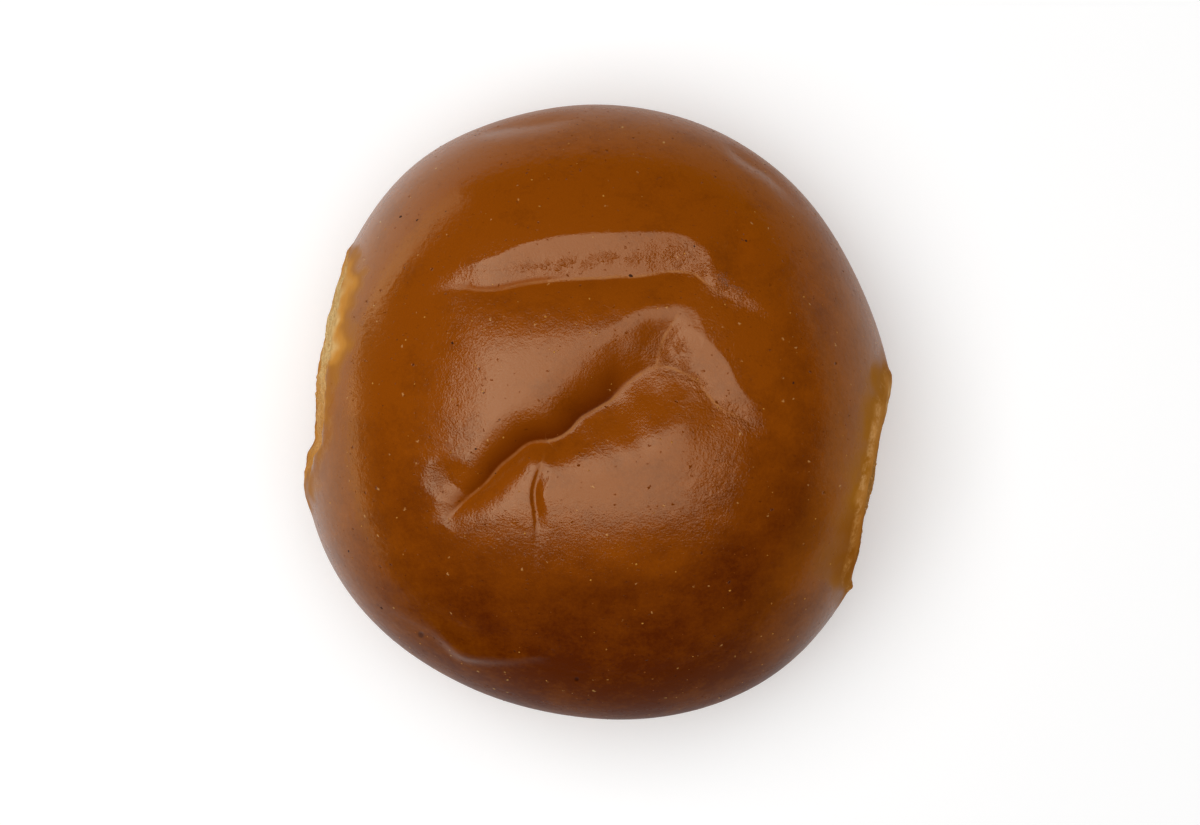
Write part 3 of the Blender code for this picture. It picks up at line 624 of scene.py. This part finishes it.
# The baked crust. A range says where something comes in, and one of four also what it goes from and to.
crustLook = {
    # the brown, and its tint where it is darker towards the front right: real bake and painted shade together
    "brown": (0.242, 0.0530, 0.0008, 1.0), "bakedAndShadedShare": (0.36, 0.24, 0.20, 1.0),
    # the tint and power of the painted shade on the crease walls, and the darkening of pits, pores and burnt
    # spots
    "paintedShadeTint": (0.42, 0.28, 0.22, 1.0), "foldPower": 1.5, "pitShare": (0.3, 0.2, 0.2, 1.0),
    "sideTint": (1.14, 1.40, 1.40, 1.0), "sideTintRange": (42 * mm, 30 * mm),
    "lowGold": (0.36, 0.135, 0.016, 1.0), "lowRange": (17 * mm, 6 * mm), "lowAmount": 0.8,
    "lowWander": 4 * mm, "paleAmount": 0.24,
    "baseBrown": (0.24, 0.085, 0.014, 1.0), "baseRange": (1.6 * mm, 0.2 * mm), "baseMottle": (0.3, 0.7),
    # noises: lumps a millimetre, detail, roughness, stretch; and how much each mottles the brown
    "noises": {"broad": (0.10, 2.0, 0.5), "middle": (0.35, 3.0, 0.6),
               "streaky": (0.22, 3.0, 0.55, (0.7, 1.2, 1.0)), "fine": (1.5, 3.0, 0.65)},
    "mottling": {"broad": 0.75, "streaky": 0.6, "middle": 0.45, "fine": 0.55},
    # the painted highlight on a crease, a tan line: mm from the line, how it breaks up, where it is weaker,
    # how strong it is
    "lipHighlightTan": (0.46, 0.205, 0.07, 1.0), "lipWidth": (0.30, 0.05), "lipBreaks": (0.40, 0.60, 0.35, 1.0),
    "lipAcross": (-12 * mm, -8.5 * mm, 0.4, 1.0), "lipHighlightAmount": 0.45,
    "dullLipWidth": (1.0, 0.4), "dullLipAcross": (-4 * mm, -10 * mm),
    # dots: how many a millimetre, size, share of the places that have one, stretch
    "glintSpecks": (0.42, 0.12, 0.35), "pits": (0.45, 0.13, 0.20), "pores": (1.1, 0.20, 0.35, (0.5, 1.4, 1.0)),
    # painted glints: golden specks where tiny raised blisters catch the light
    "glintGold": (0.46, 0.21, 0.055, 1.0), "glintAmount": 0.75,
    "darkened": {"pits": 0.6, "pores": 0.45, "burnt": 0.8}, "burntCore": 0.35,
    "bendPerMm": 1.6, "bendReach": 0.9 * mm,
}

# The torn sides and the crust beside them. Ranges called past are in mm past the crust's edge.
tornLook = {
    "cream": (0.71, 0.50, 0.225, 1.0), "tan": (0.78, 0.40, 0.13, 1.0), "goldTan": (0.62, 0.30, 0.09, 1.0),
    "darkTan": (0.42, 0.18, 0.035, 1.0), "edgeTan": (0.36, 0.135, 0.014, 1.0),
    "edgeGold": (0.52, 0.225, 0.038, 1.0), "rightGold": (0.48, 0.20, 0.037, 1.0),
    "rightEdge": (0.37, 0.135, 0.008, 1.0),
    "lowRight": (0.80, 0.68, 0.45, 1.0), "crustEdge": (0.64, 0.33, 0.11, 1.0),
    # how unevenly the edge runs, and by how many mm the pale bands are wider in places
    "wander": (0.22, 1.0, 0.5), "wanderReach": 4.0,
    "streaks": (0.8, 2.0, 0.6, (1.0, 0.30, 0.5)), "streakReach": 1.2,
    "sides": (10 * mm, -10 * mm),
    "leftWide": 2.2, "leftWideFrom": (2 * mm, 13 * mm), "leftWideTo": (31 * mm, 22 * mm),
    "rightWide": (-7 * mm, 2 * mm, 1.3, 1.8),
    "lowRightFrom": (-13 * mm, -20 * mm), "lowRightTo": (-31 * mm, -26 * mm),
    "pastPale": (-1.4, 0.5), "paleRight": 1.8, "paleLowRight": 2.4,
    "pastGolden": (0.1, 1.4), "pastOpen": (1.2, 2.8),
    # where the crumb is cream and where it is tan
    "lowCrumb": (30 * mm, 12 * mm, 0.0, 0.7), "lowCrumbAmount": 0.55,
    "lowCrumbAlong": (-9 * mm, 12 * mm, 0.35, 1.0), "creamAlong": (-5 * mm, 14 * mm, 0.1, 1.0),
    "leftTanAlong": (-2 * mm, 9 * mm), "rightTanAlong": (-6 * mm, 3 * mm),
    "streakMix": (0.40, 0.65, 0.0, 0.5),
    # the light line where the crust ends
    "linePast": 0.9, "lineWidth": (0.60, 0.1), "lineBreaks": (0.44, 0.58, 0.0, 1.0),
    "lineGrain": (0.38, 0.60, 0.3, 1.0), "lineAlong": (6 * mm, 0.0, 0.3, 1.0),
    "lineRight": 0.65, "lineLeast": 0.15,
}

# Gloss of the egg wash, and what takes it away
shineLook = {
    "bakedGloss": (0.55, 1.0, 0.15, 0.23), "fineGloss": 0.10, "shadeGloss": 0.12,
    "dull": (36 * mm, 14 * mm), "lowGloss": 0.40, "mattCrumb": 0.92, "paleMatt": 0.5, "lipLoss": 0.8,
    "tint": (1.0, 0.84, 0.58, 1.0), "shine": 0.5, "washFrom": (45 * mm, 37 * mm),
    "lowSide": (31 * mm, 25 * mm, 1.0, 0.6), "paleLoss": (0.0, 1.0, 0.75, 0.95), "goldenLoss": 0.8,
    "shadeLoss": (0.0, 0.6, 1.0, 0.25),
}

# Relief too fine for the mesh
skinLook = {
    "patches": (0.45, 3.0, 0.6), "patchy": (0.38, 0.60, 0.2, 1.0), "evenGrain": 0.075,
    "sideGrain": (38 * mm, 45 * mm, 0.35, 1.0), "shadeGrain": (0.1, 0.7, 1.0, 0.25),
    "skin": (2.8, 2.0, 0.6), "skinGrain": 0.50 * mm, "leatherNoise": (0.8, 2.0, 0.55), "leather": 0.05 * mm,
    "poreDepth": 0.3, "pit": 0.05 * mm, "speckRise": 0.03 * mm, "crumbHoles": 0.8, "crumb": 0.45 * mm,
}


def crustParts(tree):
    # where a point is, and the noises, dots and lines that its colour, its shine and its relief share
    look = crustLook
    place, across, along, height = readPlace(tree)
    parts = {"place": place, "across": across, "along": along, "height": height}
    for name, settings in look["noises"].items():
        parts[name] = grain(tree, place, *settings)

    # none of the dots is quite round
    bend = addNode(tree, "ShaderNodeTexNoise", {"Vector": place, "Scale": look["bendPerMm"] / mm})
    feeds = {0: bend.outputs["Color"], 1: (look["bendReach"],) * 3, 2: place}
    bent = vectorMaths(tree, "MULTIPLY_ADD", feeds)[0]
    for name in ("glintSpecks", "pits", "pores"):
        parts[name] = dots(tree, bent, *look[name])

    # the few spots that caught in the oven
    plan = addNode(tree, "ShaderNodeCombineXYZ", {"X": across, "Y": along}).outputs[0]
    spots = []
    for x, y, radius in burntSpots:
        away = vectorMaths(tree, "DISTANCE", {0: plan, 1: (x * mm, y * mm, 0.0)})["Value"]
        spots.append(remap(tree, away, radius * mm, radius * mm * look["burntCore"]))
    parts["burnt"] = most(tree, *spots)

    # the painted highlight, a thin tan line on a crease, and the dull skin beside it
    fromLine, lip = maths(tree, "ABSOLUTE", attribute(tree, "aside")), attribute(tree, "lip")
    parts["onLip"] = times(tree, remap(tree, fromLine, *look["lipWidth"]), lip,
                           remap(tree, parts["middle"], *look["lipBreaks"]),
                           remap(tree, across, *look["lipAcross"]))
    parts["dullLip"] = times(tree, remap(tree, fromLine, *look["dullLipWidth"]), lip,
                             remap(tree, across, *look["dullLipAcross"]))
    parts["base"] = remap(tree, height, *look["baseRange"])
    return parts


def crustColour(tree, parts):
    look, height, middle = crustLook, parts["height"], parts["middle"]
    uneven = [swing(tree, parts[name], amount) for name, amount in look["mottling"].items()]
    # darker towards the front right, partly a real darker bake and partly painted shade, mottled at random
    bakedAndShaded = plus(tree, attribute(tree, "bakeAndShade"), plus(tree, *uneven))
    bakedAndShaded = remap(tree, bakedAndShaded, 0.0, 1.0, kind="LINEAR")
    colour = blend(tree, bakedAndShaded, look["brown"], look["bakedAndShadedShare"], "MULTIPLY")
    # painted shade: the crease walls turned away from the light are darkened in the colour, most near the
    # crease
    deepShade = maths(tree, "POWER", attribute(tree, "shade"), look["foldPower"])
    colour = blend(tree, deepShade, colour, look["paintedShadeTint"], "MULTIPLY")
    # painted highlight: a tan line along the crease edges where the shine is taken off
    colour = blend(tree, times(tree, parts["onLip"], look["lipHighlightAmount"]), colour, look["lipHighlightTan"])
    # painted glints: golden specks on tiny raised blisters
    colour = blend(tree, times(tree, parts["glintSpecks"], look["glintAmount"]), colour, look["glintGold"])
    # pits and pores are darkened in colour, painted shade in these small dips; the burnt spots are the
    # crust's own dark
    for name, amount in look["darkened"].items():
        colour = blend(tree, times(tree, parts[name], amount), colour, look["pitShare"], "MULTIPLY")

    # paler crust low on the side and beside the torn sides, and the matt base
    colour = blend(tree, remap(tree, height, *look["sideTintRange"]), colour, look["sideTint"], "MULTIPLY")
    colour = blend(tree, times(tree, attribute(tree, "pale"), look["paleAmount"]), colour, look["lowGold"])
    low = remap(tree, plus(tree, height, times(tree, middle, look["lowWander"])), *look["lowRange"])
    colour = blend(tree, times(tree, low, look["lowAmount"]), colour, look["lowGold"])
    baseColour = blend(tree, remap(tree, middle, *look["baseMottle"]), look["baseBrown"], look["lowGold"])
    return blend(tree, parts["base"], colour, baseColour)


def addTornParts(tree, parts):
    # the crust pales to gold at its edge, then comes the crumb, streaked along the side
    look, place, along = tornLook, parts["place"], parts["along"]
    streaks = grain(tree, place, *look["streaks"])
    left = remap(tree, parts["across"], *look["sides"])
    right = inverse(tree, left)
    leftWide = times(tree, remap(tree, along, *look["leftWideFrom"]),
                     remap(tree, along, *look["leftWideTo"]), look["leftWide"])
    wide = plus(tree, times(tree, left, leftWide), times(tree, right, remap(tree, along, *look["rightWide"])))
    past = plus(tree, attribute(tree, "torn"), wide,
                swing(tree, grain(tree, place, *look["wander"]), look["wanderReach"]),
                swing(tree, streaks, look["streakReach"]))
    lowRight = times(tree, right, remap(tree, along, *look["lowRightFrom"]),
                     remap(tree, along, *look["lowRightTo"]))
    inward = plus(tree, times(tree, right, look["paleRight"]), times(tree, lowRight, look["paleLowRight"]))
    paleStart, paleEnd = look["pastPale"]
    paling = remap(tree, past, maths(tree, "SUBTRACT", paleStart, inward), paleEnd)
    parts.update(streaks=streaks, left=left, right=right, lowRight=lowRight, paling=paling,
                 golden=remap(tree, past, *look["pastGolden"]), open=remap(tree, past, *look["pastOpen"]))


def tornColour(tree, parts, colour):
    look, along, right = tornLook, parts["along"], parts["right"]
    lowCrumb = times(tree, remap(tree, parts["height"], *look["lowCrumb"]), look["lowCrumbAmount"],
                     remap(tree, along, *look["lowCrumbAlong"]))
    leftCream = times(tree, parts["left"], remap(tree, along, *look["creamAlong"]))
    leftTan = blend(tree, remap(tree, along, *look["leftTanAlong"]), look["goldTan"], look["tan"])
    rightTan = blend(tree, remap(tree, along, *look["rightTanAlong"]), look["darkTan"], look["tan"])
    crumb = blend(tree, right, leftTan, rightTan)
    crumb = blend(tree, most(tree, leftCream, lowCrumb), crumb, look["cream"])
    edgeGold = blend(tree, right, look["edgeGold"], look["rightGold"])
    crumb = blend(tree, remap(tree, parts["streaks"], *look["streakMix"]), crumb, edgeGold)
    colour = blend(tree, parts["paling"], colour, blend(tree, right, look["edgeTan"], look["rightEdge"]))
    colour = blend(tree, parts["golden"], colour, edgeGold)
    colour = blend(tree, parts["open"], colour, crumb)

    # a light broken line where the crust ends
    fromEdge = maths(tree, "ABSOLUTE", plus(tree, attribute(tree, "torn"), look["linePast"]))
    edgeLine = times(tree, remap(tree, fromEdge, *look["lineWidth"]),
                     remap(tree, parts["middle"], *look["lineBreaks"]),
                     remap(tree, parts["fine"], *look["lineGrain"]),
                     remap(tree, along, *look["lineAlong"]),
                     plus(tree, times(tree, right, look["lineRight"]), look["lineLeast"]))
    colour = blend(tree, edgeLine, colour, look["crustEdge"])
    lowPale = times(tree, parts["lowRight"], parts["paling"])
    return blend(tree, lowPale, colour, look["lowRight"], "MULTIPLY")


def crustRoughness(tree, parts):
    look = shineLook
    gloss = plus(tree, remap(tree, attribute(tree, "bakeAndShade"), *look["bakedGloss"]),
                 swing(tree, parts["fine"], look["fineGloss"]),
                 times(tree, attribute(tree, "shade"), look["shadeGloss"]))
    dull = remap(tree, parts["height"], *look["dull"])
    roughness = remap(tree, dull, 0.0, 1.0, gloss, look["lowGloss"], "LINEAR")
    matt = most(tree, parts["open"], parts["base"], times(tree, parts["paling"], look["paleMatt"]))
    return remap(tree, matt, 0.0, 1.0, roughness, look["mattCrumb"], "LINEAR")


def crustShine(tree, parts):
    # less shine low on the side, where the egg wash is thin, and none on the crumb or in the pits
    look, height = shineLook, parts["height"]
    lip = times(tree, most(tree, parts["onLip"], parts["dullLip"]), look["lipLoss"])
    dulled = times(tree, parts["paling"], remap(tree, parts["right"], *look["paleLoss"]))
    return times(tree, remap(tree, height, *look["washFrom"], look["shine"], attribute(tree, "wash")),
                 inverse(tree, most(tree, parts["open"], parts["pits"], parts["pores"])),
                 remap(tree, height, *look["lowSide"]), inverse(tree, lip), inverse(tree, dulled),
                 inverse(tree, times(tree, parts["golden"], look["goldenLoss"])),
                 remap(tree, attribute(tree, "shade"), *look["shadeLoss"]))


def crustRelief(tree, parts):
    # leathery skin, finely puckered in the folds, pits, and open crumb where it is torn
    look, place = skinLook, parts["place"]
    patchy = remap(tree, grain(tree, place, *look["patches"]), *look["patchy"])
    puckered = times(tree, plus(tree, times(tree, attribute(tree, "pucker"), patchy), look["evenGrain"]),
                     remap(tree, parts["height"], *look["sideGrain"]),
                     remap(tree, attribute(tree, "shade"), *look["shadeGrain"]))
    normal = bump(tree, times(tree, grain(tree, place, *look["skin"]), puckered), look["skinGrain"])
    normal = bump(tree, grain(tree, place, *look["leatherNoise"]), look["leather"], normal)
    dips = most(tree, parts["pits"], times(tree, parts["pores"], look["poreDepth"]), parts["burnt"])
    normal = bump(tree, times(tree, dips, -1.0), look["pit"], normal)
    normal = bump(tree, parts["glintSpecks"], look["speckRise"], normal)
    holes = cells(tree, place, look["crumbHoles"])["Distance"]
    return bump(tree, times(tree, plus(tree, holes, parts["fine"]), parts["open"]), look["crumb"], normal)


def crustMaterial():
    material, tree, sockets = newMaterial("bakedCrust")
    parts = crustParts(tree)
    addTornParts(tree, parts)
    colour = tornColour(tree, parts, crustColour(tree, parts))
    finishWith(tree, sockets, colour, crustRoughness(tree, parts), crustShine(tree, parts))
    sockets["Specular Tint"].default_value = shineLook["tint"]
    tree.links.new(crustRelief(tree, parts), sockets["Normal"])
    return material


# Small things scattered over the bun: how many a square metre, least and most radius, how thick for its
# width, how lumpy, and where: the point value that decides and the range of it
smallPieces = {
    "crustBlisters": {"perArea": 50000, "least": 0.06 * mm, "most": 0.18 * mm, "thick": 0.45, "lumpy": 0.15,
                      "where": ("torn", -99.0, -3.0), "above": 20 * mm, "sink": 0.35, "seed": 4},
    "bakeFlecks": {"perArea": 2600, "least": 0.10 * mm, "most": 0.32 * mm, "thick": 0.25, "lumpy": 0.5,
                   "where": ("torn", -99.0, -3.0), "above": 20 * mm, "sink": 0.3, "seed": 11},
    "crumbTufts": {"perArea": 900000, "least": 0.12 * mm, "most": 0.32 * mm, "thick": 0.7, "lumpy": 0.8,
                   "where": ("torn", 1.5, 99.0), "above": 2.5 * mm, "sink": 0.3, "seed": 23},
}

# What they share: how long for their width, lumps a millimetre, and how often a ball's faces are halved
pieceShape = {"drawnOut": (0.7, 1.5), "lumpsPerMm": 1.6,
              "halvings": {"crustBlisters": 2, "bakeFlecks": 2, "crumbTufts": 1}}


def scatterTree(name, rules, material):
    tree = bpy.data.node_groups.new(name, "GeometryNodeTree")
    tree.interface.new_socket("Geometry", in_out="INPUT", socket_type="NodeSocketGeometry")
    for label in ("perArea", "least", "most", "thick", "lumpy", "above", "sink"):
        tree.interface.new_socket(label, in_out="INPUT", socket_type="NodeSocketFloat")
    tree.interface.new_socket("seed", in_out="INPUT", socket_type="NodeSocketInt")
    tree.interface.new_socket("Geometry", in_out="OUTPUT", socket_type="NodeSocketGeometry")
    given = addNode(tree, "NodeGroupInput").outputs

    attributeName, low, high = rules["where"]
    named = addNode(tree, "GeometryNodeInputNamedAttribute", {"Name": attributeName}, data_type="FLOAT")
    value = named.outputs["Attribute"]
    position = addNode(tree, "GeometryNodeInputPosition").outputs["Position"]
    height = addNode(tree, "ShaderNodeSeparateXYZ", {0: position}).outputs["Z"]
    inside = times(tree, maths(tree, "GREATER_THAN", value, low), maths(tree, "LESS_THAN", value, high),
                   maths(tree, "GREATER_THAN", height, given["above"]))
    density = times(tree, given["perArea"], inside)
    feeds = {"Mesh": given["Geometry"], "Density": density, "Seed": given["seed"]}
    spread = addNode(tree, "GeometryNodeDistributePointsOnFaces", feeds, distribute_method="RANDOM").outputs

    # one small ball, sunk a little into the crust
    feeds = {"Radius": 1.0, "Subdivisions": pieceShape["halvings"][name]}
    ball = addNode(tree, "GeometryNodeMeshIcoSphere", feeds).outputs["Mesh"]
    down = addNode(tree, "ShaderNodeCombineXYZ", {"Z": times(tree, given["sink"], -1.0)}).outputs[0]
    lowered = addNode(tree, "GeometryNodeTransform", {"Geometry": ball, "Translation": down}).outputs[0]

    def chosen(feeds):
        return addNode(tree, "FunctionNodeRandomValue", feeds, data_type="FLOAT").outputs[1]

    size = chosen({2: given["least"], 3: given["most"], "Seed": given["seed"]})
    shortest, longest = pieceShape["drawnOut"]
    feeds = {"X": times(tree, size, chosen({2: shortest, 3: longest})), "Y": size,
             "Z": times(tree, size, given["thick"])}
    scale = addNode(tree, "ShaderNodeCombineXYZ", feeds).outputs[0]
    spin = addNode(tree, "ShaderNodeCombineXYZ", {"Z": chosen({3: 2 * math.pi})}).outputs[0]
    turned = addNode(tree, "FunctionNodeRotateRotation", {0: spread["Rotation"], 1: spin},
                     rotation_space="LOCAL").outputs[0]
    feeds = {"Points": spread["Points"], "Instance": lowered, "Rotation": turned, "Scale": scale}
    placed = addNode(tree, "GeometryNodeInstanceOnPoints", feeds).outputs[0]

    # realized, then made lumpy one by one
    realized = addNode(tree, "GeometryNodeRealizeInstances", {0: placed}).outputs[0]
    position = addNode(tree, "GeometryNodeInputPosition").outputs[0]
    feeds = {"Vector": position, "Scale": pieceShape["lumpsPerMm"] / mm}
    lumps = addNode(tree, "ShaderNodeTexNoise", feeds).outputs["Color"]
    centred = vectorMaths(tree, "SUBTRACT", {0: lumps, 1: (0.5, 0.5, 0.5)})[0]
    pushed = vectorMaths(tree, "SCALE", {0: centred, "Scale": times(tree, given["lumpy"], given["most"])})[0]
    moved = addNode(tree, "GeometryNodeSetPosition", {"Geometry": realized, "Offset": pushed}).outputs[0]
    smooth = addNode(tree, "GeometryNodeSetShadeSmooth", {"Geometry": moved}).outputs[0]
    coloured = addNode(tree, "GeometryNodeSetMaterial", {"Geometry": smooth, "Material": material})
    addNode(tree, "NodeGroupOutput", {0: coloured.outputs[0]})
    return tree


def scatterOver(bun, name, rules, material):
    tree = scatterTree(name, rules, material)
    carrier = newObject("carrier", bun.data)
    modifier = carrier.modifiers.new(name, "NODES")
    modifier.node_group = tree
    for item in tree.interface.items_tree:
        if item.in_out == "INPUT" and item.name in rules:
            modifier[item.identifier] = rules[item.name]
    evaluated = carrier.evaluated_get(bpy.context.evaluated_depsgraph_get())
    mesh = bpy.data.meshes.new_from_object(evaluated)
    mesh.name = name
    bpy.data.objects.remove(carrier, do_unlink=True)
    points = np.clip(readPoints(mesh), np.array(cadLow), np.array(cadHigh))
    mesh.vertices.foreach_set("co", points.ravel())
    piece = newObject(name, mesh)
    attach(piece, "root")
    print(name, "made,", len(mesh.polygons), "faces")


fleckLook = {"colour": (0.045, 0.011, 0.002, 1.0), "roughness": 0.7, "shine": 0.12}
blisterLook = {
    "brown": (0.20, 0.045, 0.001, 1.0), "gold": (0.46, 0.20, 0.03, 1.0), "roughness": 0.5, "shine": 0.1,
    "patchesPerMm": 0.5, "golden": (0.50, 0.62),
}
crumbLook = {
    "cream": (0.71, 0.50, 0.225, 1.0), "gold": (0.54, 0.26, 0.07, 1.0), "roughness": 0.95, "shine": 0.1,
    "creamAlong": (-5 * mm, 14 * mm, 0.05, 1.0), "lowDown": (30 * mm, 12 * mm, 0.0, 0.7),
    "lowAlong": (-9 * mm, 12 * mm, 0.1, 0.4), "patchesPerMm": 0.5, "patchy": (0.3, 0.6, 0.5, 1.0),
}


def fleckMaterial():
    material, tree, sockets = newMaterial("bakedFleck")
    finishWith(tree, sockets, fleckLook["colour"], fleckLook["roughness"], fleckLook["shine"])
    return material


def blisterMaterial():
    # some blisters are the crust's brown, some are painted gold as glints where they catch the light
    look = blisterLook
    material, tree, sockets = newMaterial("glintBlister")
    golden = remap(tree, grain(tree, readPlace(tree)[0], look["patchesPerMm"]), *look["golden"])
    colour = blend(tree, golden, look["brown"], look["gold"])
    finishWith(tree, sockets, colour, look["roughness"], look["shine"])
    return material


def crumbMaterial():
    look = crumbLook
    material, tree, sockets = newMaterial("tornCrumb")
    place, across, along, height = readPlace(tree)
    leftCream = times(tree, remap(tree, across, *tornLook["sides"]),
                      remap(tree, along, *look["creamAlong"]))
    lowDown = times(tree, remap(tree, height, *look["lowDown"]), remap(tree, along, *look["lowAlong"]))
    patchy = remap(tree, grain(tree, place, look["patchesPerMm"]), *look["patchy"])
    share = times(tree, most(tree, leftCream, lowDown), patchy)
    colour = blend(tree, share, look["gold"], look["cream"])
    finishWith(tree, sockets, colour, look["roughness"], look["shine"])
    return material


def buildBun():
    bun = newObject("bunCrust", ballMesh())
    shapeBun(bun.data)
    bun.data.materials.append(crustMaterial())
    bun.data.shade_smooth()
    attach(bun, "root")
    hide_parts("bun")
    print("bun made,", len(bun.data.polygons), "faces")
    materials = {"crustBlisters": blisterMaterial(), "bakeFlecks": fleckMaterial(),
                 "crumbTufts": crumbMaterial()}
    for name, rules in smallPieces.items():
        scatterOver(bun, name, rules, materials[name])


# Studio
def floorMaterial():
    material, tree, sockets = newMaterial("paleFloor")
    grey = (studio["floorTone"],) * 3 + (1.0,)
    finishWith(tree, sockets, grey, studio["floorRoughness"], studio["floorShine"])
    sockets["Emission Color"].default_value = (1.0, 1.0, 1.0, 1.0)
    sockets["Emission Strength"].default_value = studio["floorGlow"]
    return material


def softLight(name, size, brightness, place, turn=(0.0, 0.0, 0.0), colour=(1.0, 1.0, 1.0)):
    light = bpy.data.lights.new(name, "AREA")
    light.shape = "RECTANGLE"
    light.size, light.size_y = size
    light.energy = brightness * size[0] * size[1]
    light.color = colour
    lightObject = newObject(name, light)
    lightObject.location = place
    lightObject.rotation_euler = turn
    lightObject.visible_camera = False


def buildStudio():
    bpy.ops.mesh.primitive_plane_add(size=studio["floorSize"], location=(0, 0, 0))
    floor = bpy.context.object
    floor.name = "paleFloor"
    floor.data.materials.append(floorMaterial())

    near, far = studio["boxAlong"]
    for i, (left, right, brightness) in enumerate(studio["boxStrips"]):
        place = ((left + right) / 2, (near + far) / 2, studio["boxHeight"])
        softLight("softBox" + str(i), (right - left, far - near), brightness, place)
    for azimuth, brightness, width, height, colour in studio["lowCards"]:
        a = math.radians(azimuth)
        place = (studio["cardDistance"] * math.cos(a), studio["cardDistance"] * math.sin(a), height / 2)
        turn = (math.pi / 2, 0.0, a + math.pi / 2)
        softLight("lowCard" + str(azimuth), (width, height), brightness, place, turn, colour)

    world = bpy.data.worlds.new("studioWorld")
    world.use_nodes = True
    world.node_tree.nodes["Background"].inputs["Color"].default_value = (1, 1, 1, 1)
    world.node_tree.nodes["Background"].inputs["Strength"].default_value = studio["worldLight"]
    bpy.context.scene.world = world

    camera = bpy.data.cameras.new("topCamera")
    camera.lens = studio["lens"]
    camera.sensor_width = studio["sensor"]
    cameraObject = newObject("topCamera", camera)
    cameraObject.location = (*studio["cameraAside"], studio["cameraHeight"])
    bpy.context.scene.camera = cameraObject
    bpy.context.scene.view_settings.view_transform = "Standard"
    print("studio made")


buildStudio()
buildBun()
